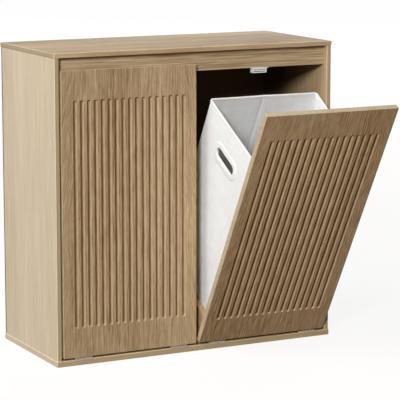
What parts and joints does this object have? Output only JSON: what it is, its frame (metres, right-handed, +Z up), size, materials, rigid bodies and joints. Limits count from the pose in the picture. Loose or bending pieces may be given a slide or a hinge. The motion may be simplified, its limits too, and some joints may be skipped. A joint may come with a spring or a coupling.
{
  "type": "tilt-out linen cabinet",
  "caption": "Free-standing wood-grain laundry cabinet with fluted doors that tip forward on bottom hinges, each carrying a lift-out fabric bag in a tray.",
  "frame": {"origin": "centre of the bottom panel's underside, on the floor", "axes": "+Z up, doors face -Y, +X to the right of a person who faces the doors"},
  "size_m": [0.8, 0.7223, 0.8],
  "materials": {
    "oak_board": "satin oak-grain laminate",
    "back_board": "matt printed fibreboard",
    "beech": "bare turned beech",
    "hinge_steel": "zinc plated",
    "bright_steel": "bright plated",
    "zinc_casting": "raw die casting",
    "catch_plastic": "moulded",
    "magnet": "sintered, matt",
    "bag_fabric": "fine plain weave",
    "bag_binding": "folded tape",
    "handle_plastic": "semi-gloss"
  },
  "bodies": {
    "cabinet": {"top_panel": "oak_board", "bottom_panel": "oak_board", "left_side_panel": "oak_board", "right_side_panel": "oak_board", "centre_divider": "oak_board", "top_rail": "oak_board", "back_panel": "back_board", "cam_discs": "zinc_casting", "cam_bolts": "bright_steel", "carcass_dowels": "beech", "back_panel_screws": "bright_steel", "side_stop_pegs": "beech", "divider_stop_peg": "beech", "left_catch_housing": "catch_plastic", "right_catch_housing": "catch_plastic", "catch_magnets": "magnet", "catch_pole_plates": "bright_steel", "catch_screws": "bright_steel", "hinge_fixed_leaves": "hinge_steel", "hinge_pins": "bright_steel", "hinge_fixed_screws": "bright_steel"},
    "left_bin": {"left_door_panel": "oak_board", "left_door_hinge_leaves": "hinge_steel", "left_door_hinge_screws": "bright_steel", "left_strike_plate": "bright_steel", "left_strike_screw": "bright_steel", "left_tray_dowels": "beech", "left_tray_left_side": "oak_board", "left_tray_right_side": "oak_board", "left_tray_floor": "oak_board", "left_tray_back": "oak_board", "left_tray_screws": "bright_steel", "left_bag_front_wall": "bag_fabric", "left_bag_back_wall": "bag_fabric", "left_bag_left_wall": "bag_fabric", "left_bag_right_wall": "bag_fabric", "left_bag_base": "bag_fabric", "left_bag_rim": "bag_binding", "left_bag_handle_rings": "handle_plastic"},
    "right_bin": {"right_door_panel": "oak_board", "right_door_hinge_leaves": "hinge_steel", "right_door_hinge_screws": "bright_steel", "right_strike_plate": "bright_steel", "right_strike_screw": "bright_steel", "right_tray_dowels": "beech", "right_tray_left_side": "oak_board", "right_tray_right_side": "oak_board", "right_tray_floor": "oak_board", "right_tray_back": "oak_board", "right_tray_screws": "bright_steel", "right_bag_front_wall": "bag_fabric", "right_bag_back_wall": "bag_fabric", "right_bag_left_wall": "bag_fabric", "right_bag_right_wall": "bag_fabric", "right_bag_base": "bag_fabric", "right_bag_rim": "bag_binding", "right_bag_handle_rings": "handle_plastic"}
  },
  "joints": [
    {"name": "left_tilt", "type": "hinge", "parent": "cabinet", "child": "left_bin", "pos_m": [-0.192, -0.1802, 0.0175], "axis": [1, 0, 0], "range_deg": [0, 29.5]},
    {"name": "right_tilt", "type": "hinge", "parent": "cabinet", "child": "right_bin", "pos_m": [0.192, -0.1802, 0.0175], "axis": [1, 0, 0], "range_deg": [-29.5, 0]}
  ]
}
